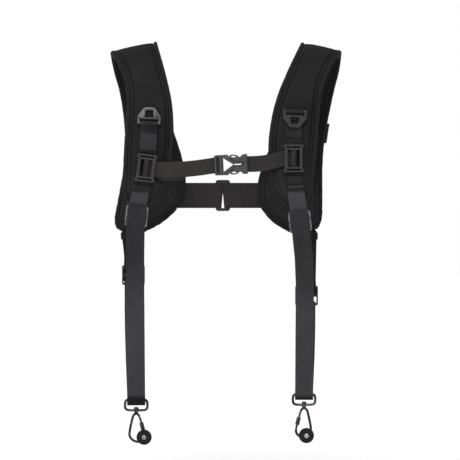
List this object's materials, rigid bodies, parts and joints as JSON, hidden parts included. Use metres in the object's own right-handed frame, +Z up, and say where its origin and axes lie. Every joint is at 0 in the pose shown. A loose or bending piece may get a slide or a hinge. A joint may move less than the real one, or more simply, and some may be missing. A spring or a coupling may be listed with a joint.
{
  "type": "dual camera harness",
  "caption": "Shoulder harness of two padded straps joined by a buckled chest strap and a back strap, with a camera strap, carabiner and camera screw hanging at each side.",
  "frame": {"origin": "between the wearer's shoulders, level with the crests of the two shoulder pads, where the harness rests on the shoulders", "axes": "+Z up, +X to the right of someone who faces the wearer, the front of the harness towards -Y"},
  "size_m": [0.2932, 0.1094, 0.5085],
  "materials": {
    "pad_cloth": "matte black neoprene with a fine knit face",
    "binding": "black knitted binding with a faint sheen",
    "ladder_webbing": "dark grey nylon webbing",
    "body_webbing": "black nylon webbing with a warm tone",
    "camera_webbing": "dark grey nylon webbing",
    "black_plastic": "satin black acetal",
    "grey_plastic": "satin dark grey acetal",
    "triglide_steel": "polished steel",
    "gunmetal": "polished black nickel",
    "screw_steel": "turned steel",
    "washer_rubber": "moulded rubber",
    "patch": "smooth black woven patch, bare"
  },
  "bodies": {
    "root": {"left_shoulder_pad": "pad_cloth", "right_shoulder_pad": "pad_cloth", "left_pad_binding": "binding", "right_pad_binding": "binding", "left_ladder_webbing": "ladder_webbing", "right_ladder_webbing": "ladder_webbing", "left_chest_webbing": "body_webbing", "right_chest_webbing": "body_webbing", "left_back_strap": "body_webbing", "right_back_strap": "body_webbing", "left_camera_strap": "camera_webbing", "right_camera_strap": "camera_webbing", "left_rear_tab": "camera_webbing", "right_rear_tab": "camera_webbing", "left_chest_slider": "black_plastic", "right_chest_slider": "black_plastic", "left_rear_slider": "black_plastic", "right_rear_slider": "black_plastic", "back_slider": "black_plastic", "buckle_latch": "grey_plastic", "buckle_socket": "grey_plastic", "left_front_triglide": "triglide_steel", "right_front_triglide": "triglide_steel", "label_patch": "patch", "side_tag": "patch"},
    "left_d_ring": {"left_d_ring": "black_plastic"},
    "right_d_ring": {"right_d_ring": "black_plastic"},
    "left_swivel_ring": {"left_swivel_ring": "gunmetal"},
    "right_swivel_ring": {"right_swivel_ring": "gunmetal"},
    "left_carabiner": {"left_carabiner": "gunmetal", "left_camera_screw": "screw_steel", "left_rubber_washer": "washer_rubber"},
    "right_carabiner": {"right_carabiner": "gunmetal", "right_camera_screw": "screw_steel", "right_rubber_washer": "washer_rubber"},
    "left_gate": {"left_gate": "gunmetal"},
    "right_gate": {"right_gate": "gunmetal"},
    "left_gate_sleeve": {"left_gate_sleeve": "gunmetal"},
    "right_gate_sleeve": {"right_gate_sleeve": "gunmetal"}
  },
  "joints": [
    {"name": "left_d_ring_hinge", "type": "hinge", "parent": "root", "child": "left_d_ring", "pos_m": [-0.09768, -0.0509, -0.09696], "axis": [0.9994, 0, -0.0349], "range_deg": [0, 180]},
    {"name": "right_d_ring_hinge", "type": "hinge", "parent": "root", "child": "right_d_ring", "pos_m": [0.08442, -0.0509, -0.08201], "axis": [0.9986, 0, -0.0523], "range_deg": [-185, 0]},
    {"name": "left_ring_hinge", "type": "hinge", "parent": "root", "child": "left_swivel_ring", "pos_m": [-0.11532, 0, -0.444], "axis": [1, 0, 0], "range_deg": [-60, 60]},
    {"name": "right_ring_hinge", "type": "hinge", "parent": "root", "child": "right_swivel_ring", "pos_m": [0.09678, 0, -0.437], "axis": [1, 0, 0], "range_deg": [-60, 60]},
    {"name": "left_swivel", "type": "hinge", "parent": "left_swivel_ring", "child": "left_carabiner", "pos_m": [-0.11532, 0, -0.457], "axis": [0, 0, 1], "continuous": true},
    {"name": "right_swivel", "type": "hinge", "parent": "right_swivel_ring", "child": "right_carabiner", "pos_m": [0.09678, 0, -0.45], "axis": [0, 0, 1], "continuous": true},
    {"name": "left_gate_hinge", "type": "hinge", "parent": "left_carabiner", "child": "left_gate", "pos_m": [-0.11037, 0, -0.46756], "axis": [0, 1, 0], "range_deg": [0, 20], "stiffness_Nm_per_rad": 0.002, "springref_deg": -28.65},
    {"name": "right_gate_hinge", "type": "hinge", "parent": "right_carabiner", "child": "right_gate", "pos_m": [0.09183, 0, -0.46056], "axis": [0, -1, 0], "range_deg": [0, 20], "stiffness_Nm_per_rad": 0.002, "springref_deg": -28.65},
    {"name": "left_sleeve_slide", "type": "slide", "parent": "left_gate", "child": "left_gate_sleeve", "axis": [0.2504, 0, -0.9681], "range_m": [0, 0.006]},
    {"name": "right_sleeve_slide", "type": "slide", "parent": "right_gate", "child": "right_gate_sleeve", "axis": [-0.2504, 0, -0.9681], "range_m": [0, 0.006]}
  ]
}
